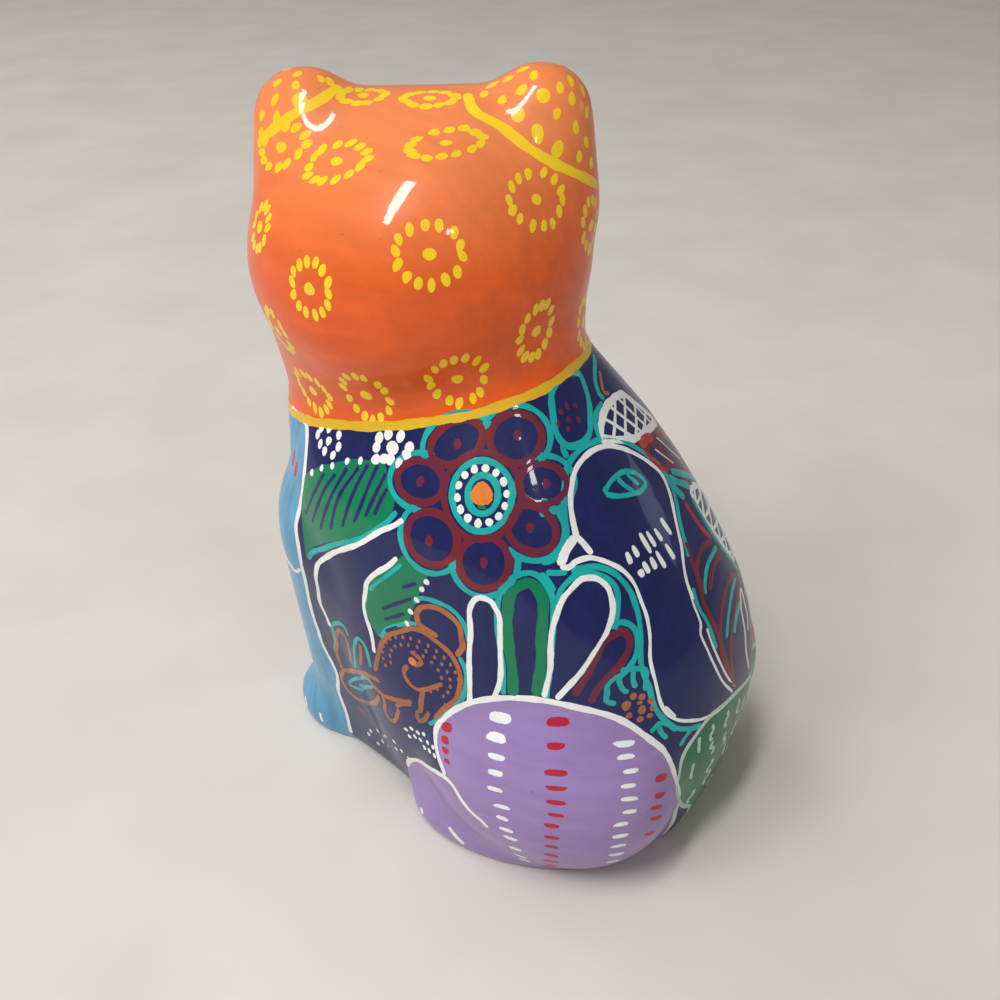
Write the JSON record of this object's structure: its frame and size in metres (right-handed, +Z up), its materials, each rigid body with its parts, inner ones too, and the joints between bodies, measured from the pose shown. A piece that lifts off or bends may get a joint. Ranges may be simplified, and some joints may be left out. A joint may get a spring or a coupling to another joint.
{
  "type": "cat figurine",
  "caption": "Seated clay cat with its head turned over its right shoulder, painted by hand with flowers, birds and dashes under gloss; it stands on a flat underside as an ornament.",
  "frame": {"origin": "on the flat underside, below the middle of the bounding box", "axes": "+Z up, -Y the way the body faces, +X the cat's own left"},
  "size_m": [0.088, 0.1132, 0.1645],
  "materials": {
    "painted_clay": "gloss over hand painting"
  },
  "bodies": {
    "root": {"cat_figurine": "painted_clay"}
  },
  "joints": []
}
